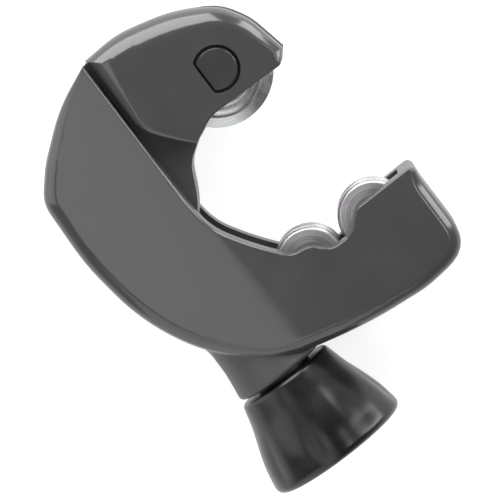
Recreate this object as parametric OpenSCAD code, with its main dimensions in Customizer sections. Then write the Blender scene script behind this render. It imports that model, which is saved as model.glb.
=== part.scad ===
// Mini tube cutter with a screw fed jaw.
// The tube lies along Z between two rollers and one cutting wheel.
// The origin is the axis of the largest tube, seated on both rollers, at half the thickness.
// +Y is the way from the rollers to the wheel, +X the way out of the mouth.
// The jaw is shown fully open. Turning the knob draws it down its channel.

/* [Tube and wheels] */
// Outside diameter of the largest tube that is cut
tube_d = 22; // [21:0.25:22.5]
// Gap left over that tube when the jaw is fully open
open_gap = 0.3; // [0.2:0.05:0.6]
// Gap left between the wheel's edge and the rollers when the jaw is closed
closed_gap = 0.33; // [0.2:0.01:0.6]
// Diameter of the cutting wheel at its edge
wheel_d = 20.7; // [20:0.1:21]
// Width of the cutting wheel over its hub
wheel_w = 6.4; // [5.6:0.1:6.8]
// Diameter of the cutting wheel's hub
hub_d = 12.4; // [11:0.1:13]
// Diameter of the rollers
roller_d = 13; // [12.4:0.1:13.2]
// Gap between the two rollers
roller_gap = 1; // [0.8:0.05:1.4]
// Diameter of the roller pins
pin_d = 4; // [3.5:0.1:4.5]
// Diameter of the wheel axle
axle_d = 5; // [4.5:0.1:5.4]
// Diameter of the axle's D shaped head
axle_head_d = 7.7; // [7:0.1:8]

/* [Housing] */
// Thickness of each cheek beside the channel
cheek_t = 5; // [4.6:0.1:5.2]
// Distance from the screw axis back to the housing's spine
spine_reach = 15.5; // [15.2:0.1:17]
// Metal of the arm beyond the outer roller
arm_wall = 4.3; // [3.8:0.1:6]
// Height of the housing above the wheel's axis
top_rise = 14.95; // [14:0.05:15.4]
// Depth of the arm below the roller axes
heel_drop = 15.46; // [15:0.02:17]
// Height of the arm's upper edge above the roller axes
lip_rise = 3.29; // [2.8:0.01:3.6]
// Depth of the dip between the rollers, below that edge
dip = 3.1; // [2:0.1:3.2]
// Gap between the head's flank and the cheeks' front edges
flank_gap = 1.6; // [1.3:0.05:2]
// Rounding of the housing's outer rim
rim_r = 3; // [2:0.1:3.4]
// Fall of the back half of each cheek, in degrees
back_fall = 2.6; // [1:0.1:4]

/* [Feed screw and knob] */
// Distance from the cheeks' front edges back to the screw axis
screw_in = 5.8; // [5.5:0.05:5.9]
// Diameter of the feed screw
screw_d = 6; // [5.6:0.1:6.4]
// Distance from the feed screw out to each cheek
screw_side = 2; // [1.8:0.05:2.3]
// Height of the neck's end above the arm's underside
neck_rise = 2.45; // [2.2:0.05:3.2]
// Diameter of the neck at its end
neck_d = 17.8; // [17:0.1:18.2]
// Thickness of the thrust washer under the knob
washer_t = 0.7; // [0.6:0.1:1]
// Diameter of the thrust washer
washer_d = 11.2; // [10:0.1:12]
// Largest diameter of the knob, over the ridges between its flutes
knob_d = 27.4; // [26.6:0.1:28.4]
// Diameter of the knob at its top
knob_top_d = 18.5; // [17:0.1:19.5]
// Length of the knob
knob_l = 17.1; // [15.5:0.1:19]
// Number of finger flutes round the knob
flutes = 8; // [6:1:10]
// Depth of the finger flutes
flute_depth = 0.6; // [0.4:0.05:0.9]

/* [Clearances] */
// Gap on each side between flat sliding faces
slide_gap = 0.15; // [0.1:0.01:0.2]
// Radial gap of a shaft that turns in its bore
run_gap = 0.03; // [0.02:0.01:0.06]
// Gap round a wheel or a roller in its pocket
wheel_gap = 0.5; // [0.35:0.05:0.6]

/* [Hidden] */
$fn = 96;

// One overrun serves every cut
over = 1;

// Places that follow from the tube, the wheel and the rollers
roller_x = (roller_d + roller_gap) / 2;
roller_y = sqrt(pow((tube_d + roller_d) / 2, 2) - pow(roller_x, 2));
wheel_y = tube_d / 2 + open_gap + wheel_d / 2;
closed_reach = (wheel_d + roller_d) / 2 + closed_gap;
travel = wheel_y + roller_y - sqrt(pow(closed_reach, 2) - pow(roller_x, 2));

// Reach of the housing from the tube axis
head_back_share = 1.5749;
mouth_x = head_back_share * wheel_d / 2 + flank_gap;
screw_x = mouth_x + screw_in;
back_reach = screw_x + spine_reach;
arm_reach = roller_x + roller_d / 2 + arm_wall;
body_rise = wheel_y + top_rise;
arm_drop = roller_y + heel_drop;
lip_drop = roller_y - lip_rise;

// Channel and cheeks, the same thickness for the housing and the jaw's head
slot_w = screw_d + 2 * screw_side;
body_t = slot_w + 2 * cheek_t;
front_room = 1.5;
stem_t = slot_w - 2 * slide_gap;
half_t = body_t / 2;

// Stem of the jaw, round the screw
stem_wall = 2.2;
stem_half = screw_d / 2 + stem_wall;
stem_back = screw_x + stem_half;
channel_back = stem_back + 2 * slide_gap;
stem_bottom = 1.6;
channel_drop = travel - stem_bottom + 2 * slide_gap;

// Screw, with its ring and washer in a pocket under the channel
screw_tip = 8.5;
tip_room = 0.8;
ring_t = 0.7;
ring_groove = 0.6;
ring_out = 1.3;
floor_washer_t = 0.8;
floor_washer_d = 9.4;
floor_pocket = ring_t + floor_washer_t + slide_gap * 2;
floor_drop = channel_drop + floor_pocket;
pocket_d = slot_w - 2 * slide_gap;
screw_step = 1.4;
square_share = 0.683;
square_w = screw_d * square_share;
square_l = 10.4;

// Knob, measured down from the end of the neck
neck_drop = arm_drop - neck_rise;
knob_top = neck_drop + washer_t;
knob_bottom = knob_top + knob_l;
knob_rim = 1.3;
square_end = knob_top + screw_step + square_l;
knob_web_end = square_end + slide_gap;
knob_washer_t = 0.6;
knob_washer_d = 7.4;
knob_screw_share = 0.433;
knob_screw_d = screw_d * knob_screw_share;
knob_screw_l = 7;
knob_head_d = 5.4;
knob_head_t = 1.9;
driver_w = 2;
driver_depth = 1;
cap_d = 12;
cap_t = 1.3;
cap_lip_d = 9;
cap_lip_t = 0.9;
cap_ledge = cap_t + cap_lip_t;
well_d = 9.2;

// Shares of the knob's length and of its flare, from the top to the widest turn
knob_shares = [
    [0, 0], [0.09, 0.1], [0.27, 0.29], [0.5, 0.61], [0.68, 0.83], [0.82, 0.94], [0.92, 1]
];
// Where the first flute stands when the jaw is open, in degrees from the near side
flute_turn = 7.4;
flute_r = 3.4;
flute_row = 2;
flute_end_row = 6;

// Neck: shares of its length below the tube axis and of its end radius
neck_shares = [
    [0.45, 0.9], [0.58, 0.965], [0.66, 0.925], [0.8, 0.932], [0.9, 0.97], [0.95, 0.995], [0.975, 1],
    [0.992, 0.965], [1, 0.9]
];

// Outer edge of the housing from its top front corner, down the back and along the arm.
// Each row holds a share of the reach, a share of the height, the blend and the rim share.
outer_shares = [
    [-0.666, 0.907, 0.48, 0.8],
    [-0.875, 0.73, 0.28, 1],
    [-0.992, 0.587, 0.35, 1],
    [-1.008, 0.221, 0.32, 1],
    [-0.962, -0.169, 0.48, 1],
    [-0.823, -0.537, 0.48, 1],
    [-0.573, -0.847, 0.48, 1],
    [-0.135, -0.975, 0.48, 0.95],
    [0.402, -1.009, 0.22, 0.85],
    [1.006, -0.971, 0.55, 0.8],
    [1, -0.502, 0.45, 0.72]
];
top_corner_shares = [0, 0.12];
// Arm's upper corner: shares of its reach and of the lip's depth, blend and rim share
arm_corner_shares = [1.018, 0.975, 0.46, 0.16];

// Corner and step of the outline where the crease starts and ends
crease_ends = [[7, 6], [19, 2]];

// Dip between the rollers: shares of the roller distance and of the dip
dip_shares = [
    [0.71, 0, 0.4, 0.13],
    [0.3, 1, 0.4, 0.13],
    [-0.33, 1.03, 0.4, 0.13],
    [-0.74, 0.05, 0.4, 0.13],
    [-1.26, -0.11, 0.4, 0.15]
];

// Inner ledge beside the tube: shares of the mouth distance and of the lip's depth
ledge_shares = [
    [-0.737, -0.54, 0.48, 0.2],
    [-0.966, -0.015, 0.48, 0.2],
    [-1, 0.5, 0.4, 0.2]
];

// Head of the jaw: shares of the wheel's radius, measured from the wheel's axis
head_shares = [
    [1.176, -0.362, 0, 0.4],
    [1.024, 0.367, 0.34, 0.56],
    [0.729, 0.877, 0.48, 0.75],
    [-0.02, 1.309, 0.48, 1],
    [-0.967, 1.541, 0.4, 1],
    [-1.671, 1.5, 0, 0.75],
    [-1.612, -0.05, 0.48, 0.2],
    [-1.285, -0.465, 0.46, 0.14],
    [-0.976, -0.783, 0.08, 0.055],
    [-0.502, -0.56, 0.35, 0.1],
    [0.986, -0.579, 0.15, 0.08]
];
head_rim_r = 4.6;

// Inner edge of the jaw's web, in the same shares, from the head down to the stem
web_shares = [
    [-0.976, -0.783, 0.08],
    [-1.295, -1, 0.45],
    [-1.565, -1.56, 0.45]
];
web_hold_share = 0.75;
web_inset_share = 0.6;
stem_foot_share = 0.86;
stem_top_shares = [[0.6, 1.008], [0.78, 0.94], [1, 0.847]];

// Wheel: shares of its radius and of half its width
edge_flat = 0.06;
bevel_r_share = 0.83;
bevel_w_share = 0.22;
disc_w_share = 0.4;
ridge_r_share = 0.72;
hub_chamfer = 0.35;

// Roller: its ends, its groove for the wheel's edge and its turned lines
roller_w = slot_w - 2 * slide_gap;
roller_chamfer = 0.5;
groove_depth = 1.1;
groove_w = 2.6;
groove_floor_w = 1;
line_depth = 0.18;
line_w = 0.4;
line_place_share = 0.74;

// Pins go in from the far side and stop short of the near face
pin_blind = 2;
pin_sink = 0.3;
pin_chamfer = 0.3;

// Axle: head in its recess, off the axle's own axis, with a groove and ring at its far end
head_t = 2.7;
head_off_x = 0.73;
head_off_y = 0.28;
head_sink = 0.2;
head_flat_share = 0.63;
recess_gap = 0.45;
head_chamfer = 0.3;
axle_sink = 0.9;
axle_groove_w = 1.2;
axle_groove_depth = 0.6;
axle_groove_in = 2.6;
axle_chamfer = 0.4;
ring_gap = 0.02;

blend_steps = 7;
rim_steps = 5;
head_rim_steps = 8;

// Point at share t of the way from a to b
function mix(a, b, t) = a * (1 - t) + b * t;

// Share of the way to the next corner that a corner's blend may use
function cut(corners, i, j) =
    let (
        n = len(corners),
        here = corners[i],
        back = norm(planar(corners[(i + n - 1) % n]) - planar(here)),
        ahead = norm(planar(corners[(i + 1) % n]) - planar(here)),
        there = norm(planar(corners[j]) - planar(here))
    )
    here[2] * min(back, ahead) / there;

function planar(p) = [p[0], p[1]];

// Closed path through corners [x, y, blend, rim], each turned into a parabola unless its blend is zero
function blended(corners, steps) = [
    for (i = [0 : len(corners) - 1])
        let (
            n = len(corners),
            before = (i + n - 1) % n,
            after = (i + 1) % n,
            a = mix(corners[i], corners[before], cut(corners, i, before)),
            c = mix(corners[i], corners[after], cut(corners, i, after))
        )
        for (s = [0 : corners[i][2] > 0 ? steps : 0])
            let (t = s / steps)
            mix(mix(a, corners[i], t), mix(corners[i], c, t), t)
];

// Number of the path's first point at corner k
function start_of(corners, k) =
    k == 0 ? 0 : start_of(corners, k - 1) + (corners[k - 1][2] > 0 ? blend_steps + 1 : 1);

// Outward normal at point i of an anticlockwise path, lengthened for its corner
function outward(path, i) =
    let (
        n = len(path),
        a = planar(path[i]) - planar(path[(i + n - 1) % n]),
        b = planar(path[(i + 1) % n]) - planar(path[i]),
        na = [a[1], -a[0]] / norm(a),
        nb = [b[1], -b[0]] / norm(b),
        sum = na + nb
    )
    sum * 2 / (sum * sum);

// Twice the signed area of a triangle, positive when it runs anticlockwise
function turn(a, b, c) = (b[0] - a[0]) * (c[1] - a[1]) - (b[1] - a[1]) * (c[0] - a[0]);

// Whether point i of an anticlockwise outline can be cut off as a triangle
function is_ear(points, order, i) =
    let (
        n = len(order),
        before = order[(i + n - 1) % n],
        here = order[i],
        after = order[(i + 1) % n],
        a = points[before],
        b = points[here],
        c = points[after],
        others = [for (k = order) if (k != before && k != here && k != after) points[k]],
        inside = [for (q = others) if (turn(a, b, q) >= 0 && turn(b, c, q) >= 0 && turn(c, a, q) >= 0) q]
    )
    turn(a, b, c) > 0 && len(inside) == 0;

// Triangles that fill a flat outline, cut off one point at a time
function filled(points, order, i = 0) =
    let (n = len(order), k = i % n)
    n == 3 ? [order]
    : is_ear(points, order, k) || i > 2 * n
        ? concat(
            [[order[(k + n - 1) % n], order[k], order[(k + 1) % n]]],
            filled(points, [for (j = [0 : n - 1]) if (j != k) order[j]], k)
        )
        : filled(points, order, i + 1);

// Solid of a closed path with both rims rounded by each point's own radius. Between the two path
// points of a crease the face is bent: the part to the left of the crease falls away by an angle.
module rounded_plate(path, thick, rim, steps, crease = [], fall = 0) {
    n = len(path);
    bent = len(crease) > 0;
    normals = [for (i = [0 : n - 1]) outward(path, i)];
    angles = [for (s = [0 : steps]) 90 * s / steps];
    function inset(i, angle) = planar(path[i]) - normals[i] * rim * path[i][3] * (1 - cos(angle));
    from = bent ? inset(crease[0], 90) : [0, 0];
    upto = bent ? inset(crease[1], 90) : [0, 1];
    function sunk(q) = bent ? max(0, turn(from, upto, q)) / norm(upto - from) * tan(fall) : 0;
    function ring(side, angle) = [
        for (i = [0 : n - 1])
            let (q = inset(i, angle))
            [q[0], q[1], side * (thick / 2 - sunk(q) - rim * path[i][3] * (1 - sin(angle)))]
    ];
    rings = concat(
        [for (s = [steps : -1 : 0]) ring(-1, angles[s])],
        [for (s = [0 : steps]) ring(1, angles[s])]
    );
    count = len(rings);
    points = [for (r = rings) for (p = r) p];
    sides = [
        for (k = [0 : count - 2])
            for (i = [0 : n - 1])
                let (j = (i + 1) % n, lower = k * n, upper = (k + 1) * n)
                for (face = [[lower + i, upper + i, upper + j], [lower + i, upper + j, lower + j]])
                    face
    ];
    top = (count - 1) * n;
    flats = bent
        ? [[for (k = [crease[0] : crease[1]]) k], [for (k = [crease[1] : crease[0] + n]) k % n]]
        : [[for (k = [0 : n - 1]) k]];
    fill = [for (order = flats) for (f = filled([for (p = rings[0]) planar(p)], order)) f];
    caps = [for (f = fill) for (face = [f, [f[2] + top, f[1] + top, f[0] + top]]) face];
    polyhedron(points = points, faces = concat(sides, caps), convexity = 8);
}

// Puts a profile of [radius, distance down the screw axis] round the screw axis
module on_screw() {
    translate([-screw_x, 0, 0])
        rotate([90, 0, 0])
            children();
}

// Solid ring or washer on the screw axis, from one depth to the next
module disc_on_screw(outer_r, inner_r, from, upto) {
    on_screw()
        translate([0, 0, from])
            difference() {
                cylinder(r = outer_r, h = upto - from);
                translate([0, 0, -over])
                    cylinder(r = inner_r, h = upto - from + 2 * over);
            }
}

function housing_corners() = concat(
    [[-mouth_x, body_rise, top_corner_shares[0], top_corner_shares[1]]],
    [
        for (row = outer_shares) [
            row[0] * (row[0] < 0 ? back_reach : arm_reach),
            row[1] * (row[1] < 0 ? arm_drop : body_rise),
            row[2],
            row[3]
        ]
    ],
    [[
        arm_corner_shares[0] * arm_reach,
        -arm_corner_shares[1] * lip_drop,
        arm_corner_shares[2],
        arm_corner_shares[3]
    ]],
    [for (row = dip_shares) [row[0] * roller_x, -lip_drop - row[1] * dip, row[2], row[3]]],
    [for (row = ledge_shares) [row[0] * mouth_x, row[1] * lip_drop, row[2], row[3]]]
);

function head_corners() = [
    for (row = head_shares)
        [row[0] * wheel_d / 2, wheel_y + row[1] * wheel_d / 2, row[2], row[3]]
];

// Die cast housing: two cheeks, a channel between them, an arm for the rollers and a neck. The cheeks
// lie flat over the arm and fall away slightly towards the back, from a soft crease.
module housing() {
    corners = housing_corners();
    color("#646464")
        difference() {
            union() {
                rounded_plate(
                    blended(corners, blend_steps),
                    body_t,
                    rim_r,
                    rim_steps,
                    [for (end = crease_ends) start_of(corners, end[0]) + end[1]],
                    back_fall
                );
                neck();
            }
            channel();
            roller_pockets();
            roller_pin_holes();
            screw_bore();
        }
}

module neck() {
    on_screw()
        rotate_extrude()
            polygon(concat(
                [[0, neck_shares[0][0] * neck_drop]],
                [for (row = neck_shares) [row[1] * neck_d / 2, row[0] * neck_drop]],
                [[0, neck_drop]]
            ));
}

// Channel for the jaw's stem, open to the front and at the top
module channel() {
    slot_end = roller_x + roller_d / 2 + front_room;
    translate([-channel_back, -channel_drop, -slot_w / 2])
        cube([channel_back + slot_end, channel_drop + body_rise + over, slot_w]);
}

module roller_pockets() {
    pocket_r = roller_d / 2 + wheel_gap;
    for (side = [-1, 1])
        translate([side * roller_x, -roller_y, -slot_w / 2])
            cylinder(r = pocket_r, h = slot_w);
}

// Blind holes, bored from the far side
module roller_pin_holes() {
    for (side = [-1, 1])
        translate([side * roller_x, -roller_y, -half_t - over])
            cylinder(d = pin_d, h = body_t - pin_blind + over);
}

module screw_bore() {
    on_screw() {
        cylinder(d = screw_d + 2 * run_gap, h = neck_drop + over);
        translate([0, 0, channel_drop - over])
            cylinder(d = pocket_d, h = floor_pocket + over);
    }
}

// Die cast jaw: a forked head over the wheel, a web and a stem round the screw
module jaw() {
    color("#4c4c4c")
        difference() {
            union() {
                rounded_plate(blended(head_corners(), blend_steps), body_t, head_rim_r, head_rim_steps);
                stem_and_web();
            }
            wheel_fork();
            axle_bore();
            stem_bore();
        }
}

module stem_and_web() {
    hold = web_hold_share * wheel_d / 2;
    foot_x = screw_x - stem_half * stem_foot_share;
    edge = [
        for (row = web_shares)
            [row[0] * wheel_d / 2, wheel_y + row[1] * wheel_d / 2, row[2], 0]
    ];
    corners = concat(
        [[-hold, wheel_y + hold, 0, 0]],
        [for (row = stem_top_shares) [-row[0] * stem_back, row[1] * body_rise, 0, 0]],
        [[-stem_back, stem_bottom, 0.05, 0]],
        [[-foot_x, stem_bottom, 0.1, 0]],
        [for (i = [len(edge) - 1 : -1 : 0]) edge[i]],
        [[-hold, wheel_y - hold * web_inset_share, 0, 0]]
    );
    translate([0, 0, -stem_t / 2])
        linear_extrude(stem_t)
            polygon([for (p = blended(corners, blend_steps)) planar(p)]);
}

// Slot between the fork's cheeks, open below and at the nose
module wheel_fork() {
    pocket_r = wheel_d / 2 + wheel_gap;
    fork_w = wheel_w + 2 * slide_gap;
    translate([0, wheel_y, -fork_w / 2]) {
        cylinder(r = pocket_r, h = fork_w);
        translate([0, -wheel_d, 0])
            cube([wheel_d, wheel_d + pocket_r, fork_w]);
    }
}

// Bore for the axle, with a D shaped recess for its head on the near side
module axle_bore() {
    r = axle_head_d / 2;
    translate([0, wheel_y, 0]) {
        translate([0, 0, -half_t - over])
            cylinder(d = axle_d + 2 * run_gap, h = body_t + 2 * over);
        translate([head_off_x, head_off_y, half_t - head_sink - head_t])
            d_shape(r + recess_gap, head_flat_share * r + recess_gap, head_t + over);
    }
}

module d_shape(r, flat_x, h) {
    difference() {
        cylinder(r = r, h = h);
        translate([-2 * r - flat_x, -r, -over])
            cube([2 * r, 2 * r, h + 2 * over]);
    }
}

module stem_bore() {
    on_screw()
        translate([0, 0, -screw_tip - travel - tip_room])
            cylinder(d = screw_d + 2 * run_gap, h = screw_tip + travel + tip_room - stem_bottom + over);
}

// Hardened wheel: hub, disc and a sharp bevelled edge
module cutting_wheel() {
    r = wheel_d / 2;
    w = wheel_w / 2;
    bore_r = axle_d / 2 + run_gap;
    hub_r = hub_d / 2;
    half = [
        [bore_r, w],
        [hub_r - hub_chamfer, w],
        [hub_r, w - hub_chamfer],
        [hub_r, w * disc_w_share],
        [r * ridge_r_share, w * disc_w_share],
        [r * bevel_r_share, w * bevel_w_share],
        [r, edge_flat / 2]
    ];
    color("#b4b4b4")
        translate([0, wheel_y, 0])
            rotate_extrude()
                polygon(concat(half, [for (i = [len(half) - 1 : -1 : 0]) [half[i][0], -half[i][1]]]));
}

// Quick change axle with a D shaped head that can't turn in its recess
module wheel_axle() {
    seat = half_t - head_sink - head_t;
    tip = half_t - axle_sink;
    r = axle_d / 2;
    color("#484848")
        translate([0, wheel_y, 0]) {
            translate([head_off_x, head_off_y, 0])
                intersection() {
                    rotate_extrude()
                        polygon([
                            [0, seat],
                            [axle_head_d / 2, seat],
                            [axle_head_d / 2, seat + head_t - head_chamfer],
                            [axle_head_d / 2 - head_chamfer, seat + head_t],
                            [0, seat + head_t]
                        ]);
                    translate([0, 0, seat - over])
                        d_shape(axle_head_d, head_flat_share * axle_head_d / 2, head_t + 2 * over);
                }
            rotate_extrude()
                polygon([
                    [0, seat],
                    [r, seat],
                    [r, -tip + axle_groove_in],
                    [r - axle_groove_depth, -tip + axle_groove_in],
                    [r - axle_groove_depth, -tip + axle_groove_in - axle_groove_w],
                    [r, -tip + axle_groove_in - axle_groove_w],
                    [r, -tip + axle_chamfer],
                    [r - axle_chamfer, -tip],
                    [0, -tip]
                ]);
        }
}

// Elastic ring in the axle's groove that keeps the axle from falling out
module axle_ring() {
    tip = half_t - axle_sink;
    r = axle_d / 2;
    color("#202020")
        translate([0, wheel_y, -tip + axle_groove_in - axle_groove_w])
            difference() {
                cylinder(r = r + ring_gap / 2, h = axle_groove_w);
                translate([0, 0, -over])
                    cylinder(r = r - axle_groove_depth, h = axle_groove_w + 2 * over);
            }
}

module roller(side) {
    r = roller_d / 2;
    w = roller_w / 2;
    bore_r = pin_d / 2 + run_gap;
    line = w * line_place_share;
    half = [
        [bore_r, w],
        [r - roller_chamfer, w],
        [r, w - roller_chamfer],
        [r, line + line_w / 2],
        [r - line_depth, line],
        [r, line - line_w / 2],
        [r, groove_w / 2],
        [r - groove_depth, groove_floor_w / 2]
    ];
    color("#a8a8a8")
        translate([side * roller_x, -roller_y, 0])
            rotate_extrude()
                polygon(concat(half, [for (i = [len(half) - 1 : -1 : 0]) [half[i][0], -half[i][1]]]));
}

module inner_roller() {
    roller(-1);
}

module outer_roller() {
    roller(1);
}

module roller_pin(side) {
    r = pin_d / 2;
    low = -half_t + pin_sink;
    high = half_t - pin_blind;
    color("#9a9a9a")
        translate([side * roller_x, -roller_y, 0])
            rotate_extrude()
                polygon([
                    [0, low],
                    [r - pin_chamfer, low],
                    [r, low + pin_chamfer],
                    [r, high - pin_chamfer],
                    [r - pin_chamfer, high],
                    [0, high]
                ]);
}

module inner_roller_pin() {
    roller_pin(-1);
}

module outer_roller_pin() {
    roller_pin(1);
}

// Feed screw: thread, groove for its ring, journal through the neck and a square for the knob
module feed_screw() {
    r = screw_d / 2;
    groove_from = floor_drop - floor_washer_t - ring_t;
    step = knob_top + screw_step;
    color("#8f8f8f")
        difference() {
            union() {
                on_screw()
                    rotate_extrude()
                        polygon([
                            [0, -screw_tip],
                            [r - ring_groove, -screw_tip],
                            [r, -screw_tip + ring_groove],
                            [r, groove_from],
                            [r - ring_groove, groove_from],
                            [r - ring_groove, groove_from + ring_t],
                            [r, groove_from + ring_t],
                            [r, step],
                            [0, step]
                        ]);
                on_screw()
                    translate([-square_w / 2, -square_w / 2, step - over])
                        cube([square_w, square_w, square_l + over]);
            }
            on_screw()
                translate([0, 0, square_end - knob_screw_l])
                    cylinder(d = knob_screw_d, h = knob_screw_l + over);
        }
}

module thrust_washer() {
    color("#1c1c1c")
        disc_on_screw(washer_d / 2, screw_d / 2 + run_gap, neck_drop, knob_top);
}

module floor_washer() {
    color("#9a9a9a")
        disc_on_screw(floor_washer_d / 2, screw_d / 2 + run_gap, floor_drop - floor_washer_t, floor_drop);
}

// Open spring ring that holds the screw against the housing's floor
module retaining_ring() {
    inner = screw_d / 2 - ring_groove;
    outer = screw_d / 2 + ring_out;
    from = floor_drop - floor_washer_t - ring_t;
    color("#3a3a3a")
        difference() {
            disc_on_screw(outer, inner, from, from + ring_t);
            on_screw()
                translate([-outer - over, -inner / 2, from - over])
                    cube([outer + over, inner, ring_t + 2 * over]);
        }
}

// Radius of the knob at a share of its length, without its flutes
function knob_radius(row) = mix(knob_top_d, knob_d, row[1]) / 2;

// Moulded knob, flared towards its end, with finger flutes
module knob() {
    start = knob_shares[flute_row];
    end = knob_shares[flute_end_row];
    start_r = knob_radius(start);
    slope = atan((knob_radius(end) - flute_depth - start_r) / ((end[0] - start[0]) * knob_l));
    rim = [knob_d / 2 - knob_rim, knob_bottom - knob_rim];
    color("#202020")
        difference() {
            on_screw()
                rotate_extrude()
                    polygon(concat(
                        [[0, knob_top]],
                        [for (row = knob_shares) [knob_radius(row), knob_top + row[0] * knob_l]],
                        [for (a = [15 : 15 : 90]) rim + knob_rim * [cos(a), sin(a)]],
                        [[0, knob_bottom]]
                    ));
            for (k = [0 : flutes - 1])
                on_screw()
                    rotate([0, 0, 90 + flute_turn + 360 * k / flutes])
                        translate([start_r, 0, knob_top + start[0] * knob_l])
                            rotate([0, slope, 0])
                                translate([flute_r, 0, -over])
                                    cylinder(r = flute_r, h = knob_l);
            knob_bores();
        }
}

module knob_bores() {
    on_screw() {
        translate([0, 0, knob_top - over])
            cylinder(d = screw_d + 2 * run_gap, h = screw_step + over);
        translate([-square_w / 2 - run_gap, -square_w / 2 - run_gap, knob_top])
            cube([square_w + 2 * run_gap, square_w + 2 * run_gap, knob_web_end - knob_top + over]);
        translate([0, 0, knob_web_end])
            cylinder(d = well_d, h = knob_bottom - knob_web_end + over);
        translate([0, 0, knob_bottom - cap_t])
            cylinder(d = cap_d + 2 * run_gap, h = cap_t + over);
    }
}

module knob_washer() {
    from = knob_web_end;
    color("#9a9a9a")
        disc_on_screw(knob_washer_d / 2, knob_screw_d / 2 + run_gap, from, from + knob_washer_t);
}

// Screw that clamps the knob to the square, with a cross recess
module knob_screw() {
    head = knob_web_end + knob_washer_t;
    color("#8a8a8a")
        on_screw()
            difference() {
                union() {
                    translate([0, 0, square_end - knob_screw_l + knob_screw_d / 2])
                        cylinder(d = knob_screw_d, h = head - square_end + knob_screw_l - knob_screw_d / 2);
                    translate([0, 0, head])
                        cylinder(d = knob_head_d, h = knob_head_t);
                }
                for (turn = [0, 90])
                    rotate([0, 0, turn])
                        translate([-knob_head_d / 4, -driver_w / 8, head + knob_head_t - driver_depth])
                            cube([knob_head_d / 2, driver_w / 4, driver_depth + over]);
            }
}

// Cap that closes the screw's well in the end of the knob
module knob_cap() {
    color("#262626")
        on_screw() {
            translate([0, 0, knob_bottom - cap_t])
                cylinder(d = cap_d, h = cap_t);
            translate([0, 0, knob_bottom - cap_ledge])
                cylinder(d = cap_lip_d, h = cap_lip_t);
        }
}

housing();
jaw();
cutting_wheel();
wheel_axle();
axle_ring();
inner_roller();
outer_roller();
inner_roller_pin();
outer_roller_pin();
feed_screw();
thrust_washer();
floor_washer();
retaining_ring();
knob();
knob_washer();
knob_screw();
knob_cap();
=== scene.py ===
# %% [markdown]
# # A mini tube cutter, dressed for its portrait
# The solids come from a CAD model, and a physics model moves them. This lesson gives them their
# looks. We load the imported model, set up the camera and the studio, make one material for each
# real surface, and build finer pieces where the plain solids aren't enough.

# %% Load the frame
import bpy
from math import cos, hypot, pi, radians, sin, tau
from mathutils import Matrix, Vector


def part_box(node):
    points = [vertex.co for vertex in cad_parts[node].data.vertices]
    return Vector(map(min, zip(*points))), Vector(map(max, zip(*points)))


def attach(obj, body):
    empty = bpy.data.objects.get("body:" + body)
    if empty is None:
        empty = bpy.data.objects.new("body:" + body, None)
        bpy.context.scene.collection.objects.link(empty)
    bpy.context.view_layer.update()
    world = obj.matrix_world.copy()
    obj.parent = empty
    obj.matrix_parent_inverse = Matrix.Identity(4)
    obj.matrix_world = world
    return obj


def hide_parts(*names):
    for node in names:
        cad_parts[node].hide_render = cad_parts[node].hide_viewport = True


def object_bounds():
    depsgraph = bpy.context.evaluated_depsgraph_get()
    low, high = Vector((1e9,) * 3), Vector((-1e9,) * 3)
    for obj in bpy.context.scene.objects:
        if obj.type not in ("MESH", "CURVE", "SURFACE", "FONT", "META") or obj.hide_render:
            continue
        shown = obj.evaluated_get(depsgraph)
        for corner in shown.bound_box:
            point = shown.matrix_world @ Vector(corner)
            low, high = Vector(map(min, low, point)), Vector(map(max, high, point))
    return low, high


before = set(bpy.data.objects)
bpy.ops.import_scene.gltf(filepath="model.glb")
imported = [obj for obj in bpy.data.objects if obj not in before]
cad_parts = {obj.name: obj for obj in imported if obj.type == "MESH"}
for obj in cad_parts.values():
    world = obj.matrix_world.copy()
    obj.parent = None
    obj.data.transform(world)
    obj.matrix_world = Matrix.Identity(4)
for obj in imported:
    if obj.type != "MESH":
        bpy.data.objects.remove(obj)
cad_low, cad_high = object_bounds()
print("CAD nodes:", sorted(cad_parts))

# %% [markdown]
# ## Units and places
# Blender works in metres, and a pocket tool is easier to think of in millimetres. The axes are the
# CAD model's own: the tube runs along Z, the jaw opens along +Y, and +X leads out of the mouth. The
# main places could be typed in, but they are measured on the CAD nodes, so they can't be wrong.

# %% Units and places
MM = 0.001
UM = MM * MM


def mm(*values):
    """Turns millimetres into a vector in metres."""
    return Vector(values) * MM


wheel_low, wheel_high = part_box("cutting_wheel")
WHEEL = (wheel_low + wheel_high) / 2
ROLLERS = {}
for name in ("inner_roller", "outer_roller"):
    low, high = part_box(name)
    ROLLERS[name] = (low + high) / 2
knob_low, knob_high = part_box("knob")
SCREW = (knob_low + knob_high) / 2
print("wheel axis", WHEEL, "screw axis x", SCREW.x)

# %% [markdown]
# ## The camera
# The photo looks straight down on the cutter, with the tool turned in the frame: its X and Y axes
# run diagonally. A long lens from half a metre gives the slight perspective that shows the wheel
# and the rollers below the cheeks. A constraint could aim the camera, but it leaves its roll open.
# Three axes in a matrix fix the roll too, so the turn is exact.

# %% Camera
eye = mm(29.2, 27.45, 540)
aim = mm(-14.8, -7.9, 0)
picture_up = Vector((0.6046, 0.7965, 0))

backward = (eye - aim).normalized()
rightward = picture_up.cross(backward).normalized()
upward = backward.cross(rightward)
turned = Matrix((rightward, upward, backward)).transposed().to_4x4()
camera = bpy.data.objects.new("camera", bpy.data.cameras.new("camera"))
camera.matrix_world = Matrix.Translation(eye) @ turned
camera.data.sensor_width = 36
camera.data.lens = 216
camera.data.clip_start, camera.data.clip_end = 0.01, 20
bpy.context.scene.collection.objects.link(camera)
bpy.context.scene.camera = camera
bpy.context.scene.view_settings.view_transform = "Standard"
print("camera at", eye, "lens", camera.data.lens, "mm")

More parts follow.
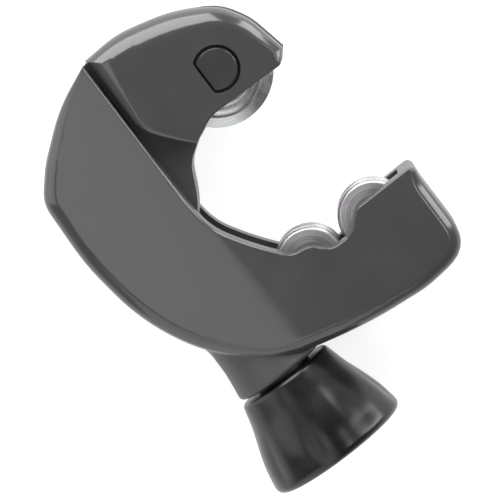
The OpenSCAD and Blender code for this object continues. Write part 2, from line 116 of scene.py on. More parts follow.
# %% [markdown]
# ## Colours and nodes
# A colour picker shows sRGB values and a shader works in linear light, so one function turns one
# into the other. A material is a small graph of nodes, which could be wired by hand in the editor.
# Here one function adds a node, sets its properties and sockets, and links its inputs, so that each
# graph below reads from its pattern to its shader.

# %% Colours and nodes
def srgb(code):
    """Turns a hex colour, as a colour picker shows it, into the linear values of a shader."""
    parts = [int(code[i : i + 2], 16) / 255 for i in (1, 3, 5)]
    return [c / 12.92 if c <= 0.04045 else ((c + 0.055) / 1.055) ** 2.4 for c in parts] + [1]


def add(tree, kind, settings=None, links=None):
    """Adds a node. A setting names a socket or a property, and a link gives a socket its source."""
    made = tree.nodes.new(kind)
    for key, value in (settings or {}).items():
        if isinstance(key, int) or key in made.inputs:
            made.inputs[key].default_value = value
        else:
            setattr(made, key, value)
    for key, source in (links or {}).items():
        tree.links.new(source, made.inputs[key])
    return made


print("the hex grey #808080 is", round(srgb("#808080")[0], 3), "in linear light")

# %% [markdown]
# ## The studio
# The photo was taken on white paper in soft light. Paper that is lit until it looks white would
# throw too much light up on the tool. So this floor is pale paper that also glows, and it glows
# only for the camera, for reflections and through glass. It is white, and it still takes the
# tool's shadow.

# %% Floor
FLOOR_GLOW = 0.79
FLOOR_HALF = 3.0
FLOOR_GAP_MM = 0.05


def white_floor():
    material = bpy.data.materials.new("floor_paper")
    material.use_nodes = True
    tree = material.node_tree
    tree.nodes.clear()
    path = add(tree, "ShaderNodeLightPath")
    seen = add(tree, "ShaderNodeMath", {"operation": "MAXIMUM"},
               {0: path.outputs["Is Camera Ray"], 1: path.outputs["Is Glossy Ray"]})
    seen = add(tree, "ShaderNodeMath", {"operation": "MAXIMUM"},
               {0: seen.outputs[0], 1: path.outputs["Is Transmission Ray"]})
    glow = add(tree, "ShaderNodeMath", {"operation": "MULTIPLY", 1: FLOOR_GLOW},
               {0: seen.outputs[0]})
    paper = add(tree, "ShaderNodeBsdfDiffuse", {"Color": srgb("#a8a8a8")})
    shine = add(tree, "ShaderNodeEmission", {"Color": srgb("#ffffff")},
                {"Strength": glow.outputs[0]})
    both = add(tree, "ShaderNodeAddShader", {}, {0: paper.outputs[0], 1: shine.outputs[0]})
    add(tree, "ShaderNodeOutputMaterial", {}, {"Surface": both.outputs[0]})
    return material


floor_z = cad_low.z - FLOOR_GAP_MM * MM
corners = [(x * FLOOR_HALF, y * FLOOR_HALF, floor_z)
           for x, y in ((-1, -1), (1, -1), (1, 1), (-1, 1))]
floor_mesh = bpy.data.meshes.new("floor")
floor_mesh.from_pydata(corners, [], [(0, 1, 2, 3)])
floor = bpy.data.objects.new("floor", floor_mesh)
bpy.context.scene.collection.objects.link(floor)
floor.data.materials.append(white_floor())
print("floor at", round(floor_z / MM, 2), "mm")

# %% [markdown]
# Round the tool stands a light tent. Its cloth is palest low down, where the paper lights it, and
# greyer overhead. A picture of a real studio could surround the tool instead, but a plain fade by
# height gives the same calm reflections and is easy to change.

# %% Light tent
TENT_PALE_TO, TENT_GREY_FROM = 0.05, 0.75

world = bpy.data.worlds.new("light_tent")
bpy.context.scene.world = world
world.use_nodes = True
tree = world.node_tree
tree.nodes.clear()
way = add(tree, "ShaderNodeTexCoord")
height = add(tree, "ShaderNodeSeparateXYZ", {}, {0: way.outputs["Generated"]})
fade = add(tree, "ShaderNodeMapRange",
           {"From Min": TENT_PALE_TO, "From Max": TENT_GREY_FROM,
            "interpolation_type": "SMOOTHSTEP"}, {"Value": height.outputs["Z"]})
tent = add(tree, "ShaderNodeMix", {"data_type": "RGBA", 6: srgb("#b4b4b4"), 7: srgb("#6a6a6a")},
           {0: fade.outputs[0]})
sky = add(tree, "ShaderNodeBackground", {"Strength": 1.0}, {"Color": tent.outputs[2]})
add(tree, "ShaderNodeOutputWorld", {}, {"Surface": sky.outputs[0]})
print("the tent fades between", TENT_PALE_TO, "and", TENT_GREY_FROM, "of its height")

# %% [markdown]
# Softboxes are the white shapes that the paint and the steel mirror. An edge that is tilted by half
# of a panel's tilt shows that panel, so each one is placed for the rims that it lights. Its power
# could be found by trial. Here it is given as how bright the panel looks, where 1 is white, and the
# power follows from that and from the panel's area.

# %% Softboxes
TOOL_CENTRE = mm(-8, -5, 0)
HEAD_TOP = mm(-3, 33, 5)
NOSE = mm(12, 30, 5)


def softbox(name, faces, azimuth, tilt, distance, width, height, glow):
    """A panel that faces a point. Azimuth turns from +X to +Y, tilt leans away from overhead."""
    lamp = bpy.data.lights.new(name, "AREA")
    lamp.shape = "RECTANGLE"
    lamp.size, lamp.size_y = width, height
    lamp.energy = glow * pi * width * height
    made = bpy.data.objects.new(name, lamp)
    turn, lean = radians(azimuth), radians(tilt)
    out = Vector((cos(turn) * sin(lean), sin(turn) * sin(lean), cos(lean)))
    side = Vector((-sin(turn), cos(turn), 0))
    made.matrix_world = (Matrix.Translation(faces + out * distance)
                         @ Matrix((side, out.cross(side), out)).transposed().to_4x4())
    bpy.context.scene.collection.objects.link(made)


# Name and the point it faces, azimuth and tilt in degrees, then distance, width and height in
# metres, and brightness
SOFTBOXES = [
    ("panel_over_spine", TOOL_CENTRE, 184, 18.5, 0.62, 0.58, 0.21, 1.42),
    ("fill_at_spine", TOOL_CENTRE, 145, 66, 0.50, 0.33, 0.46, 1.4),
    ("fill_at_heel", TOOL_CENTRE, -134, 64, 0.50, 0.56, 0.60, 1.15),
    ("key_over_head", HEAD_TOP, 80, 62.5, 0.22, 0.20, 0.23, 6.0),
    ("strip_at_nose", NOSE, 19, 67, 0.10, 0.04, 0.11, 6.5),
    ("strip_by_arm", TOOL_CENTRE, -4, 68, 0.40, 0.13, 0.36, 6.0),
    ("strip_over_arm", TOOL_CENTRE, -7, 22, 0.45, 0.18, 0.05, 6.0),
]
for row in SOFTBOXES:
    softbox(*row)
print(len(SOFTBOXES), "softboxes")

# %% [markdown]
# ## A bare surface and its patterns
# Every finish starts with the same three nodes: the place on the object in metres, a shader and an
# output. Its patterns are noises. Painted images could do the same, but they need unwrapping, and a
# noise gets its scale straight from a size in millimetres on the real finish.

# %% Surfaces and patterns
MM_IN_A_METRE = 1000
SPREAD = {"From Min": 0.3, "From Max": 0.7}  # a noise seldom leaves this range


def pattern_scale(size_mm):
    """A noise shows about one feature for each unit of scale, so this many fit in a metre."""
    return MM_IN_A_METRE / size_mm


def surface(name):
    """A new material with its object coordinates, its shader and its output."""
    material = bpy.data.materials.new(name)
    material.use_nodes = True
    tree = material.node_tree
    tree.nodes.clear()
    place = add(tree, "ShaderNodeTexCoord").outputs["Object"]
    shader = add(tree, "ShaderNodeBsdfPrincipled")
    add(tree, "ShaderNodeOutputMaterial", {}, {"Surface": shader.outputs[0]})
    return material, tree, place, shader


print("a pattern of 1 mm has the scale", pattern_scale(1))

# %% [markdown]
# ## Where the spray lands dry
# The castings are sprayed while they lie flat. On their walls, and low on the round neck, the paint
# arrives half dry and stays duller. Each place could have its own material, but then a seam shows
# between them. One graph blends them: by how level a face is, and by how near it is to the screw's
# axis and how far down the neck.

# %% Dry spray
# How level a face is goes from 1 on top to 0 on a wall
LEVEL_FROM, WALL_FROM, WALL_DULLER = 0.55, 0.1, 0.24
# Heights down the neck, and distances from the screw's axis
NECK_STARTS, NECK_FULL, NECK_DULLER = -17 * MM, -19 * MM, 0.32
NECK_EDGE, NECK_INSIDE = 9.3 * MM, 8.95 * MM


def dry_spray(tree, place):
    """The roughness that dry spray adds to the gloss."""
    lie = add(tree, "ShaderNodeSeparateXYZ", {},
              {0: add(tree, "ShaderNodeTexCoord").outputs["Normal"]})
    level = add(tree, "ShaderNodeMath", {"operation": "ABSOLUTE"}, {0: lie.outputs["Z"]})
    wall = add(tree, "ShaderNodeMapRange",
               {"From Min": LEVEL_FROM, "From Max": WALL_FROM, "To Max": WALL_DULLER,
                "interpolation_type": "SMOOTHSTEP"}, {"Value": level.outputs[0]})
    spot = add(tree, "ShaderNodeSeparateXYZ", {}, {0: place})
    low = add(tree, "ShaderNodeMapRange",
              {"From Min": NECK_STARTS, "From Max": NECK_FULL, "To Max": NECK_DULLER},
              {"Value": spot.outputs["Y"]})
    aside = add(tree, "ShaderNodeMath", {"operation": "SUBTRACT", 1: SCREW.x},
                {0: spot.outputs["X"]})
    flat = add(tree, "ShaderNodeCombineXYZ", {}, {"X": aside.outputs[0], "Z": spot.outputs["Z"]})
    radius = add(tree, "ShaderNodeVectorMath", {"operation": "LENGTH"}, {0: flat.outputs[0]})
    within = add(tree, "ShaderNodeMapRange", {"From Min": NECK_EDGE, "From Max": NECK_INSIDE},
                 {"Value": radius.outputs["Value"]})
    neck = add(tree, "ShaderNodeMath", {"operation": "MULTIPLY"},
               {0: low.outputs[0], 1: within.outputs[0]})
    return add(tree, "ShaderNodeMath", {"operation": "MAXIMUM"},
               {0: wall.outputs[0], 1: neck.outputs[0]}).outputs[0]


print("walls are duller by", WALL_DULLER, "and the neck by", NECK_DULLER)

# %% [markdown]
# ## Enamel on a zinc casting
# The housing and the jaw are die cast zinc with stoved enamel. It is sprayed, so it has a faint
# orange peel, waves about a millimetre wide that make a highlight's edge swim, and finer dust nibs.
# Real nibs are about 0.1 mm wide and are drawn as coarse as 0.35 mm, so that they show. Handling
# leaves its gloss a little uneven. A displaced mesh could carry the peel, but it is a few
# micrometres deep, so bump is enough. Paint is a clear insulator with no metallic part. Its IOR
# starts from 1.5, and 1.6 matches the highlights here.

# %% Enamel
# Widths of the handled patches, the dust nibs and the waves of the peel
CLOUD_MM, NIB_MM, PEEL_MM = 9, 0.35, 1.1
NIB_UM, NIB_TONE = 1.5, 0.12
ENAMEL_IOR = 1.6
GLOSSIER, DULLER = 0.02, 0.03


def enamel(name, colour, worn, roughness, peel_um):
    material, tree, place, shader = surface(name)
    cloud = add(tree, "ShaderNodeTexNoise", {"Scale": pattern_scale(CLOUD_MM), "Detail": 3},
                {"Vector": place})
    nibs = add(tree, "ShaderNodeTexNoise", {"Scale": pattern_scale(NIB_MM), "Detail": 2},
               {"Vector": place})
    peel = add(tree, "ShaderNodeTexNoise", {"Scale": pattern_scale(PEEL_MM), "Detail": 1},
               {"Vector": place})
    share = add(tree, "ShaderNodeMapRange", SPREAD, {"Value": cloud.outputs[0]})
    tone = add(tree, "ShaderNodeMix", {"data_type": "RGBA", 6: srgb(colour), 7: srgb(worn)},
               {0: share.outputs[0]})
    grain = add(tree, "ShaderNodeMix",
                {"data_type": "RGBA", "blend_type": "MULTIPLY", 0: NIB_TONE},
                {6: tone.outputs[2], 7: nibs.outputs["Color"]})
    gloss = add(tree, "ShaderNodeMapRange",
                {**SPREAD, "To Min": roughness - GLOSSIER, "To Max": roughness + DULLER},
                {"Value": cloud.outputs[0]})
    gloss = add(tree, "ShaderNodeMath", {"operation": "ADD"},
                {0: gloss.outputs[0], 1: dry_spray(tree, place)})
    wave = add(tree, "ShaderNodeBump", {"Strength": 1.0, "Distance": peel_um * UM},
               {"Height": peel.outputs[0]})
    dust = add(tree, "ShaderNodeBump", {"Strength": 0.5, "Distance": NIB_UM * UM},
               {"Height": nibs.outputs[0], "Normal": wave.outputs[0]})
    shader.inputs["IOR"].default_value = ENAMEL_IOR
    tree.links.new(grain.outputs[2], shader.inputs["Base Color"])
    tree.links.new(gloss.outputs[0], shader.inputs["Roughness"])
    tree.links.new(dust.outputs[0], shader.inputs["Normal"])
    return material


# The housing: a mid grey with soft highlights whose edges waver
enamel_grey = enamel("enamel_grey_sprayed", "#3d3d3d", "#414141", 0.15, 4)
# The jaw: the same gloss on a slightly deeper grey, so the two castings part where they meet
enamel_dark = enamel("enamel_dark_sprayed", "#3a3a3b", "#3e3e3f", 0.15, 4)
# The axle's head: a thin coat on steel, darker, with less peel
enamel_button = enamel("enamel_button_sprayed", "#303031", "#343435", 0.16, 3)
print("enamels:", enamel_grey.name, enamel_dark.name, enamel_button.name)

# %% [markdown]
# ## Turned and ground steel
# The wheel and the rollers come off a lathe, so fine rings run round their axes and catch the light
# as fans. An image of brushed metal could be wrapped on, but it leaves a seam. A noise that depends
# only on the distance from the axis and on the place along it draws the rings without one. Real
# rings are a few hundredths of a millimetre apart, too fine for this picture, so they are drawn as
# coarse as 0.16 mm. Faint stains a few millimetres wide dull them in patches. Steel is fully
# metallic, and keeps the default IOR.

# %% Steel
RING_MM, STAIN_MM, STAIN_TONE = 0.16, 2.5, 0.25
BRIGHTER, STAINED = 0.05, 0.08


def steel(name, light, dark, roughness, centre=(0, 0, 0), along="Z", ring_um=3, anisotropy=0.0):
    material, tree, place, shader = surface(name)
    spot = add(tree, "ShaderNodeVectorMath", {"operation": "SUBTRACT", 1: centre}, {0: place})
    parts = add(tree, "ShaderNodeSeparateXYZ", {}, {0: spot.outputs[0]})
    across = [c for c in "XYZ" if c != along]
    flat = add(tree, "ShaderNodeCombineXYZ", {},
               {"X": parts.outputs[across[0]], "Y": parts.outputs[across[1]]})
    radius = add(tree, "ShaderNodeVectorMath", {"operation": "LENGTH"}, {0: flat.outputs[0]})
    turned = add(tree, "ShaderNodeCombineXYZ", {},
                 {"X": radius.outputs["Value"], "Y": parts.outputs[along]})
    rings = add(tree, "ShaderNodeTexNoise",
                {"Scale": pattern_scale(RING_MM), "Detail": 3, "Roughness": 0.6},
                {"Vector": turned.outputs[0]})
    stain = add(tree, "ShaderNodeTexNoise", {"Scale": pattern_scale(STAIN_MM), "Detail": 3},
                {"Vector": place})
    share = add(tree, "ShaderNodeMapRange", SPREAD, {"Value": rings.outputs[0]})
    tone = add(tree, "ShaderNodeMix", {"data_type": "RGBA", 6: srgb(dark), 7: srgb(light)},
               {0: share.outputs[0]})
    aged = add(tree, "ShaderNodeMix",
               {"data_type": "RGBA", "blend_type": "MULTIPLY", 0: STAIN_TONE},
               {6: tone.outputs[2], 7: stain.outputs["Color"]})
    gloss = add(tree, "ShaderNodeMapRange",
                {**SPREAD, "To Min": roughness - BRIGHTER, "To Max": roughness + STAINED},
                {"Value": stain.outputs[0]})
    bump = add(tree, "ShaderNodeBump", {"Strength": 1.0, "Distance": ring_um * UM},
               {"Height": rings.outputs[0]})
    shader.inputs["Metallic"].default_value = 1
    shader.inputs["Anisotropic"].default_value = anisotropy
    tree.links.new(aged.outputs[2], shader.inputs["Base Color"])
    tree.links.new(gloss.outputs[0], shader.inputs["Roughness"])
    tree.links.new(bump.outputs[0], shader.inputs["Normal"])
    return material


# The cutting wheel, hardened and turned: the brightest metal, with strong rings and fans
wheel_steel = steel("wheel_steel_turned", "#f4f4f4", "#848484", 0.25, WHEEL,
                    ring_um=9, anisotropy=0.5)
# The rollers, turned and then rubbed by tubes: greyer and duller, with softer rings
roller_steel = {name: steel(name + "_steel_turned", "#cccccc", "#7c7c7c", 0.36, spot,
                            ring_um=6, anisotropy=0.4)
                for name, spot in ROLLERS.items()}
# Pins and washers, ground smooth: an even sheen. They hardly show, so the rings need no centre
pin_steel = steel("pin_steel_ground", "#c4c4c4", "#a0a0a0", 0.3, ring_um=1)
# The feed screw, with a rolled thread: a burnished grey that glints on the crests
screw_steel = steel("screw_steel_rolled", "#b0b0b0", "#808080", 0.32, (SCREW.x, 0, 0), "Y")
# The retaining ring, spring steel blued by heat: dark, with a cold tint
spring_steel = steel("spring_steel_blued", "#4a4d52", "#303338", 0.35, ring_um=1)
print("steels:", wheel_steel.name, *[made.name for made in roller_steel.values()],
      pin_steel.name, screw_steel.name, spring_steel.name)

# %% [markdown]
# ## Moulded plastic and rubber
# The knob is moulded from black nylon and polished by its mould: dark and glossy, with soft flow
# marks and a fine grain. The washer is a matt slippery plastic, and the elastic ring is rubber. A
# plain glossy black would look like a hole in the picture. Slow waves in the bump and in the gloss
# break its highlights as flow marks do. The mould's own grain is finer than 0.1 mm, so it is drawn
# as coarse as 0.5 mm. All three are insulators with an IOR of 1.5.

# %% Plastics
FLOW_MM, GRAIN_MM, GRAIN_UM = 6, 0.5, 1
PLASTIC_IOR = 1.5
POLISHED, MATTED = 0.03, 0.05


def moulded(name, colour, worn, roughness, flow_um):
    material, tree, place, shader = surface(name)
    flow = add(tree, "ShaderNodeTexNoise", {"Scale": pattern_scale(FLOW_MM), "Detail": 2},
               {"Vector": place})
    grain = add(tree, "ShaderNodeTexNoise", {"Scale": pattern_scale(GRAIN_MM), "Detail": 2},
                {"Vector": place})
    share = add(tree, "ShaderNodeMapRange", SPREAD, {"Value": grain.outputs[0]})
    tone = add(tree, "ShaderNodeMix", {"data_type": "RGBA", 6: srgb(colour), 7: srgb(worn)},
               {0: share.outputs[0]})
    gloss = add(tree, "ShaderNodeMapRange",
                {**SPREAD, "To Min": roughness - POLISHED, "To Max": roughness + MATTED},
                {"Value": flow.outputs[0]})
    wave = add(tree, "ShaderNodeBump", {"Strength": 1.0, "Distance": flow_um * UM},
               {"Height": flow.outputs[0]})
    fine = add(tree, "ShaderNodeBump", {"Strength": 0.4, "Distance": GRAIN_UM * UM},
               {"Height": grain.outputs[0], "Normal": wave.outputs[0]})
    shader.inputs["IOR"].default_value = PLASTIC_IOR
    tree.links.new(tone.outputs[2], shader.inputs["Base Color"])
    tree.links.new(gloss.outputs[0], shader.inputs["Roughness"])
    tree.links.new(fine.outputs[0], shader.inputs["Normal"])
    return material


# The knob, polished by its mould: near black, with long soft highlights that ripple a little
knob_nylon = moulded("knob_nylon_moulded", "#090909", "#0e0e0e", 0.26, 12)
# The thrust washer, moulded matt: charcoal, with only a dim sheen on its edge
washer_plastic = moulded("washer_plastic_moulded", "#181818", "#202020", 0.45, 2)
# The axle's elastic ring: rubber, almost without a highlight
ring_rubber = moulded("ring_rubber_moulded", "#141414", "#1c1c1c", 0.6, 2)
print("plastics:", knob_nylon.name, washer_plastic.name, ring_rubber.name)

# %% [markdown]
# ## A whole face beside the axle's head
# On the real jaw the near face is whole round the axle's head. In the CAD solid the axle's bore is
# a little too wide for the flat side of the head's recess, and takes a sliver off there. The CAD
# mesh may not be edited, so a modifier fills it: a rod like the bore, cut off by a block that
# stands on the recess's side of the flat, is joined to the casting.

# %% Filled sliver
# A little over the CAD bore's radius, the recess's depth, and how far its flat is from the axis
BORE_R, RECESS_DEEP, RECESS_FLAT = 2.56, 2.9, 2.1455
JAW_HALF = 10.0
ROD_STEPS, BLOCK = 64, 20
WELD_REACH = 0.002 * MM


def nick_filled(host, material):
    """Adds the sliver of casting that the axle's bore takes off beside its recess."""
    tree = bpy.data.node_groups.new("nick_filled", "GeometryNodeTree")
    for way in ("INPUT", "OUTPUT"):
        tree.interface.new_socket("Geometry", in_out=way, socket_type="NodeSocketGeometry")
    start = add(tree, "NodeGroupInput")
    axle = host.matrix_world.inverted() @ WHEEL
    rod = add(tree, "GeometryNodeMeshCylinder",
              {"Vertices": ROD_STEPS, "Radius": BORE_R * MM, "Depth": RECESS_DEEP * MM})
    rod = add(tree, "GeometryNodeTransform",
              {"Translation": axle + mm(0, 0, JAW_HALF - RECESS_DEEP / 2)},
              {"Geometry": rod.outputs["Mesh"]})
    block = add(tree, "GeometryNodeMeshCube", {"Size": mm(BLOCK, BLOCK, BLOCK)})
    block = add(tree, "GeometryNodeTransform",
                {"Translation": axle + mm(BLOCK / 2 - RECESS_FLAT, 0, JAW_HALF)},
                {"Geometry": block.outputs["Mesh"]})
    sliver = add(tree, "GeometryNodeMeshBoolean", {"operation": "DIFFERENCE", "solver": "EXACT"},
                 {"Mesh 1": rod.outputs[0], "Mesh 2": block.outputs[0]})
    sliver = add(tree, "GeometryNodeSetMaterial", {"Material": material},
                 {"Geometry": sliver.outputs[0]})
    welded = add(tree, "GeometryNodeMergeByDistance", {"Distance": WELD_REACH},
                 {"Geometry": start.outputs[0]})
    whole = add(tree, "GeometryNodeMeshBoolean", {"operation": "UNION", "solver": "EXACT"},
                {"Mesh 2": welded.outputs[0]})
    tree.links.new(sliver.outputs[0], whole.inputs["Mesh 2"])
    add(tree, "NodeGroupOutput", {}, {0: whole.outputs[0]})
    host.modifiers.new("nick_filled", "NODES").node_group = tree


nick_filled(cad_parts["jaw"], enamel_dark)
print("the sliver is", round(BORE_R - RECESS_FLAT, 2), "mm wide")

# %% [markdown]
# ## Dressing the CAD solids
# The castings and the small parts are right as they are in the CAD model, so they keep its shape. A
# new mesh could be built for each, but it would only be a copy. Four modifiers make the solid fit
# for close light: the welded vertices join faces that the exchange file split, flat triangles merge
# into whole faces, a small bevel rounds the sharp edges as paint does, and weighted normals keep
# the flat faces flat up to their rounded rims.

# %% Dressed CAD nodes
FLAT_WITHIN = radians(0.2)
SHARP_FROM = radians(32)
BEVEL_STEPS = 3


def dress(node, material, bevel_mm):
    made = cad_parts[node]
    made.data.materials.clear()
    made.data.materials.append(material)
    weld = made.modifiers.new("weld", "WELD")
    weld.merge_threshold = WELD_REACH
    flat = made.modifiers.new("flat_faces", "DECIMATE")
    flat.decimate_type = "DISSOLVE"
    flat.angle_limit = FLAT_WITHIN
    if bevel_mm:
        soft = made.modifiers.new("soft_edges", "BEVEL")
        soft.width = bevel_mm * MM
        soft.segments = BEVEL_STEPS
        soft.limit_method = "ANGLE"
        soft.angle_limit = SHARP_FROM
        soft.use_clamp_overlap = True
    even = made.modifiers.new("even_shading", "WEIGHTED_NORMAL")
    even.weight = 80
    for face in made.data.polygons:
        face.use_smooth = True


DRESSED = {
    "housing": (enamel_grey, 0.25),
    "jaw": (enamel_dark, 0.22),
    "wheel_axle": (enamel_button, 0.3),
    "axle_ring": (ring_rubber, 0.1),
    "inner_roller_pin": (pin_steel, 0.0),
    "outer_roller_pin": (pin_steel, 0.0),
    "floor_washer": (pin_steel, 0.08),
    "retaining_ring": (spring_steel, 0.08),
    "thrust_washer": (washer_plastic, 0.1),
    "knob_washer": (pin_steel, 0.06),
    "knob_screw": (pin_steel, 0.1),
    "knob_cap": (knob_nylon, 0.25),
}
for node, (material, bevel_mm) in DRESSED.items():
    dress(node, material, bevel_mm)
print("dressed", len(DRESSED), "CAD nodes")

# %% [markdown]
# ## Turned pieces
# A lathe makes anything round from one profile, so these pieces start as one: rows of radius and
# height. A knife edge never catches light as a real edge does. A bevel modifier would round all
# edges alike, so a row names its own rounding instead, which turns that corner into a short arc.

# %% Rounded profiles
ARC_STEPS = 4
SIDE_SHARE = 0.49  # under half, so two arcs on one side never meet


def rounded(profile):
    """Rounds each corner of a closed profile whose row has a third value, the arc's reach."""
    points = []
    for i, row in enumerate(profile):
        here = Vector(row[:2])
        if len(row) < 3:
            points.append(here)
            continue
        before = Vector(profile[i - 1][:2]) - here
        after = Vector(profile[(i + 1) % len(profile)][:2]) - here
        a = here + before.normalized() * min(row[2], before.length * SIDE_SHARE)
        c = here + after.normalized() * min(row[2], after.length * SIDE_SHARE)
        for s in range(ARC_STEPS + 1):
            t = s / ARC_STEPS
            points.append((a * (1 - t) + here * t) * (1 - t) + (here * (1 - t) + c * t) * t)
    return points


def mirrored(half):
    """A half profile with its other half, below the middle plane, in reverse order."""
    return half + [(row[0], -row[1], *row[2:]) for row in reversed(half)]


print("a square with round corners has",
      len(rounded([(0, 0, 0.1), (1, 0, 0.1), (1, 1, 0.1), (0, 1, 0.1)])), "points")

# %% [markdown]
# The sweep does the lathe's work: it turns a closed profile round an axis and joins each copy to
# the next. A screw modifier could turn it too, but not change the radius on the way, as the knob's
# flutes need. Faces shade smoothly across gentle bends and break at sharp ones.

# %% Lathe
TURNED_SHARP = radians(38)


def solid(name, verts, faces, material, sharp):
    """An object from points and faces, shaded smooth up to the angle that counts as sharp."""
    mesh = bpy.data.meshes.new(name)
    mesh.from_pydata(verts, [], faces)
    mesh.validate()
    mesh.materials.append(material)
    mesh.shade_smooth()
    mesh.set_sharp_from_angle(angle=sharp)
    made = bpy.data.objects.new(name, mesh)
    bpy.context.scene.collection.objects.link(made)
    print(name, len(mesh.polygons), "faces")
    return made


def lathe(name, profile, segments, material, centre, axis="Z", shape=None):
    """Sweeps a closed profile in millimetres round an axis. Shape may change the radius."""
    verts, faces = [], []
    count = len(profile)
    for k in range(segments):
        angle = tau * k / segments
        for radius, height in profile:
            r = shape(radius, height, angle) if shape else radius
            across, up = r * cos(angle), r * sin(angle)
            point = (across, up, height) if axis == "Z" else (across, height, -up)
            verts.append(centre + mm(*point))
    for k in range(segments):
        first, second = k * count, (k + 1) % segments * count
        for i in range(count):
            j = (i + 1) % count
            faces.append((first + i, second + i, second + j, first + j))
    made = solid(name, verts, faces, material, TURNED_SHARP)
    even = made.modifiers.new("even_shading", "WEIGHTED_NORMAL")
    even.keep_sharp = True
    return made


WHEEL_STEPS, ROLLER_STEPS, KNOB_STEPS = 160, 128, 320
stray = (wheel_high.x - wheel_low.x) / 2 * (1 - cos(pi / WHEEL_STEPS)) / MM
print("in", WHEEL_STEPS, "steps the wheel strays", round(stray, 4), "mm from round")

# %% [markdown]
# ## The cutting wheel
# A hardened disc with a thick hub. Its flank has turned steps, then falls in a narrow bevel to the
# cutting edge, which is the brightest part because it was ground last. The CAD wheel is a plainer
# disc of the same size. Bump could fake the steps, but their small corners have to catch the light,
# so they are real.

# %% Cutting wheel
WHEEL_HALF_PROFILE = [
    (2.53, 3.2, 0.15), (5.75, 3.2, 0.2), (6.2, 2.75, 0.2), (6.2, 1.35, 0.15),
    (6.85, 1.3), (6.95, 1.2), (7.1, 1.2), (7.2, 1.28), (7.6, 1.22),
    (8.35, 0.86), (8.42, 0.76), (8.55, 0.76), (8.64, 0.74), (10.33, 0.06, 0.02),
]
wheel = lathe("cutting_wheel_turned", rounded(mirrored(WHEEL_HALF_PROFILE)), WHEEL_STEPS,
              wheel_steel, WHEEL)
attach(wheel, "wheel_body")
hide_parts("cutting_wheel")

# %% [markdown]
# ## The rollers
# Each roller is a turned barrel with rounded shoulders. A V groove at its middle lets the wheel's
# edge in for cutting close to a flare, and two fine lines were turned near its ends. They are as
# easy to turn here as on a lathe: a few more rows in the profile.

# %% Rollers
ROLLER_HALF_PROFILE = [
    (2.03, 4.85, 0.15), (6.0, 4.85, 0.25), (6.5, 4.35, 0.25),
    (6.5, 3.78), (6.36, 3.68), (6.36, 3.5), (6.5, 3.4),
    (6.5, 3.06), (6.42, 3.0), (6.42, 2.9), (6.5, 2.84),
    (6.5, 1.35, 0.15), (5.45, 0.5, 0.2),
]
for name, centre in ROLLERS.items():
    roller = lathe(name + "_turned", rounded(mirrored(ROLLER_HALF_PROFILE)), ROLLER_STEPS,
                   roller_steel[name], centre)
    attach(roller, name + "_body")
    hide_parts(name)

# %% [markdown]
# ## The knob
# The knob flares towards its end and has eight shallow finger flutes. It could be modelled by hand
# and subdivided, but a formula follows the real outline more closely. First comes the flare: rows
# of the share of the length and of the flare, read off the outline, with a smooth line through
# them.

# %% Knob's flare
KNOB_R, KNOB_TOP_R = 13.7, 9.25
KNOB_L = (knob_high.y - knob_low.y) / MM
FLARE = [(0, 0), (0.09, 0.1), (0.27, 0.29), (0.5, 0.61), (0.68, 0.83), (0.82, 0.94), (0.92, 1)]
FLARE_END = FLARE[-1][0]


def flare_radius(share):
    """Radius of the knob at a share of its length, on a cubic line through the flare's rows."""
    if share <= FLARE[0][0]:
        return KNOB_TOP_R
    for i in range(len(FLARE) - 1):
        (x0, y0), (x1, y1) = FLARE[i], FLARE[i + 1]
        if share <= x1:
            before = FLARE[i - 1] if i else (2 * x0 - x1, 2 * y0 - y1)
            after = FLARE[i + 2] if i + 2 < len(FLARE) else (2 * x1 - x0, y1)
            slope0 = (y1 - before[1]) / (x1 - before[0])
            slope1 = (after[1] - y0) / (after[0] - x0)
            t = (share - x0) / (x1 - x0)
            w = x1 - x0
            y = ((2 * t**3 - 3 * t**2 + 1) * y0 + (t**3 - 2 * t**2 + t) * w * slope0
                 + (3 * t**2 - 2 * t**3) * y1 + (t**3 - t**2) * w * slope1)
            return KNOB_TOP_R + (KNOB_R - KNOB_TOP_R) * y
    return KNOB_R


print("the knob is", round(KNOB_L, 2), "mm long and", round(flare_radius(0.5), 2),
      "mm in radius at half its length")

# %% [markdown]
# A flute starts about a quarter of the way down. A straight line from there towards the rim gives
# the deepest that its valley could lie, and the real one takes little more than a third of that. A
# boolean could cut it, but a hard cut leaves a bright line at the ridge. Here the depth falls off
# with the square of the distance to the ridge, so it ends without an edge, as the polished mould
# has it, and it fades out before the rim, which stays round.

# %% Flutes
FLUTES = 8
FLUTE_HALF = radians(15)
FLUTE_TURN = radians(7.4)
FLUTE_FROM, FLUTE_DEPTH = 0.27, 0.6
VALLEY_SOFT, FLUTE_SOFTENED = 0.15, 0.38
FADE_FROM, FADE_LONG = 0.78, 0.2
OUTSIDE_FROM_R = KNOB_TOP_R - 0.6
flute_foot = flare_radius(FLUTE_FROM)
flute_slope = (KNOB_R - FLUTE_DEPTH - flute_foot) / (FLARE_END - FLUTE_FROM)


def fluted(radius, height, angle):
    """Takes the nearest flute off a radius. Only the knob's outside is changed."""
    share = -height / KNOB_L
    if radius < OUTSIDE_FROM_R or share <= 0:
        return radius
    depth = max(radius - flute_foot - flute_slope * (share - FLUTE_FROM), 0)
    step = tau / FLUTES
    off = (angle + FLUTE_TURN + step / 2) % step - step / 2
    away = min(hypot(off / FLUTE_HALF, VALLEY_SOFT) - VALLEY_SOFT, 1)
    fade = 1 - min(max((share - FADE_FROM) / FADE_LONG, 0), 1)
    return radius - FLUTE_SOFTENED * depth * fade * (1 - away) ** 2


middle_r, middle_y = flare_radius(0.6), -0.6 * KNOB_L
print("a flute is", round(middle_r - fluted(middle_r, middle_y, -FLUTE_TURN), 2), "mm deep")

# %% [markdown]
# The whole profile then goes round: the soft top edge, the flare, the rim's arc, and inside it the
# lip, the seat of the cap, the hollow over the screw's head and the bore. The inside could be left
# open, but the cap and the washer have to rest on something.

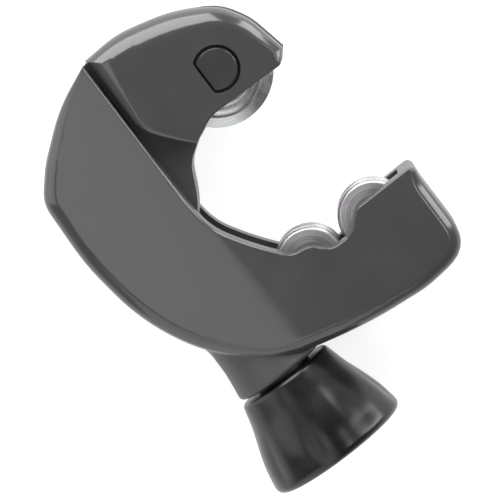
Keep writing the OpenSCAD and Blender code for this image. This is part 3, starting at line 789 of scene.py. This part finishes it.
# %% Knob
FLARE_ROWS, RIM_ROWS, RIM_R = 40, 8, 1.3
CAP_SEAT, HOLLOW_END = -KNOB_L + 1.3, -12.0

shares = [s / FLARE_ROWS * FLARE_END for s in range(1, FLARE_ROWS + 1)]
outside = [(flare_radius(share), -share * KNOB_L) for share in shares]
rim_y = -(KNOB_L - RIM_R)
turns = [k * pi / (2 * RIM_ROWS) for k in range(1, RIM_ROWS + 1)]
rim = [(KNOB_R - RIM_R + RIM_R * cos(turn), rim_y - RIM_R * sin(turn)) for turn in turns]
top_edge = [(3.6, 0.0), (8.75, 0.0), (8.98, -0.04), (9.13, -0.15)]
lip = [(6.35, -KNOB_L), (6.15, -KNOB_L + 0.06), (6.03, -KNOB_L + 0.2)]
inside = [(6.03, CAP_SEAT), (4.6, CAP_SEAT), (4.6, HOLLOW_END), (3.03, HOLLOW_END), (3.03, 0.0)]
knob_head = Vector((SCREW.x, knob_high.y, 0))
knob = lathe("knob_fluted", top_edge + outside + rim + lip + inside, KNOB_STEPS,
             knob_nylon, knob_head, "Y", fluted)
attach(knob, "screw_body")
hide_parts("knob")

# %% [markdown]
# ## The feed screw
# The CAD rod stands for a thread of 1 mm pitch, and a turn of the knob moves the jaw by one pitch.
# A helix could be swept and cut out of the rod, but that is slow and leaves poor faces. Here the
# thread is drawn in the radius: a spiral groove whose depth depends on the height less the share of
# a turn. It runs out softly at both ends.

# %% Thread
SCREW_R, PITCH, THREAD_DEPTH = 3.0, 1.0, 0.5
# How steep the groove's flanks are, and the share of its depth where its bottom is flat
FLANK, FLAT_BOTTOM = 1.25, 0.9
RUN_OUT = 0.8


def thread_radius(radius, height, angle, top, bottom):
    """The rod's radius in millimetres at a height and an angle."""
    t = (height / PITCH - angle / tau) % 1
    groove = THREAD_DEPTH * min(max(1 - abs(2 * t - 1) * FLANK, 0), FLAT_BOTTOM)
    ease = min(max((top - height) / RUN_OUT, 0), max((height - bottom) / RUN_OUT, 0), 1)
    return radius - groove * ease


deepest = thread_radius(SCREW_R, PITCH / 2, 0, 2 * PITCH, -2 * PITCH)
print("the thread's radius goes from", round(deepest, 2), "to", SCREW_R, "mm")

# %% [markdown]
# The real screw has a narrow tip and a threaded length. Its groove for the retaining ring and its
# square in the knob never show, so that length is plain and round here. The lathe above makes
# hollow pieces, so this rod is built ring by ring: one for the tip, one for each row of the thread
# and one for the end, and two caps close it.

# %% Feed screw
THREAD_END = -16.0
TIP_LONG, TIP_DEEP = 0.5, 0.6
SCREW_STEPS, ROWS_PER_PITCH = 48, 10
THREAD_SHARP = radians(50)


def threaded_rod(name, radius, top, bottom, end):
    """A rod on the screw's axis from its top to its end, with a thread down to the bottom."""
    rows = int((top - bottom) / PITCH * ROWS_PER_PITCH)
    below = top - TIP_LONG
    heights = [below - (below - bottom) * i / rows for i in range(rows + 1)]
    angles = [tau * k / SCREW_STEPS for k in range(SCREW_STEPS)]
    rings = [(top, [radius - TIP_DEEP] * SCREW_STEPS)]
    for height in heights:
        rings.append((height, [thread_radius(radius, height, a, top, bottom) for a in angles]))
    rings.append((end, [radius] * SCREW_STEPS))
    verts = [mm(SCREW.x / MM + r * cos(a), height, -r * sin(a))
             for height, radii in rings for a, r in zip(angles, radii)]
    last = len(verts) - SCREW_STEPS
    faces = []
    for first in range(0, last, SCREW_STEPS):
        for k in range(SCREW_STEPS):
            a, b = first + k, first + (k + 1) % SCREW_STEPS
            faces.append((a, b, b + SCREW_STEPS, a + SCREW_STEPS))
    faces.append(tuple(reversed(range(SCREW_STEPS))))
    faces.append(tuple(range(last, len(verts))))
    return solid(name, verts, faces, screw_steel, THREAD_SHARP)


screw_low, screw_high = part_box("feed_screw")
screw = threaded_rod("feed_screw_threaded", SCREW_R, screw_high.y / MM, THREAD_END,
                     screw_low.y / MM)
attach(screw, "screw_body")
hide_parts("feed_screw")
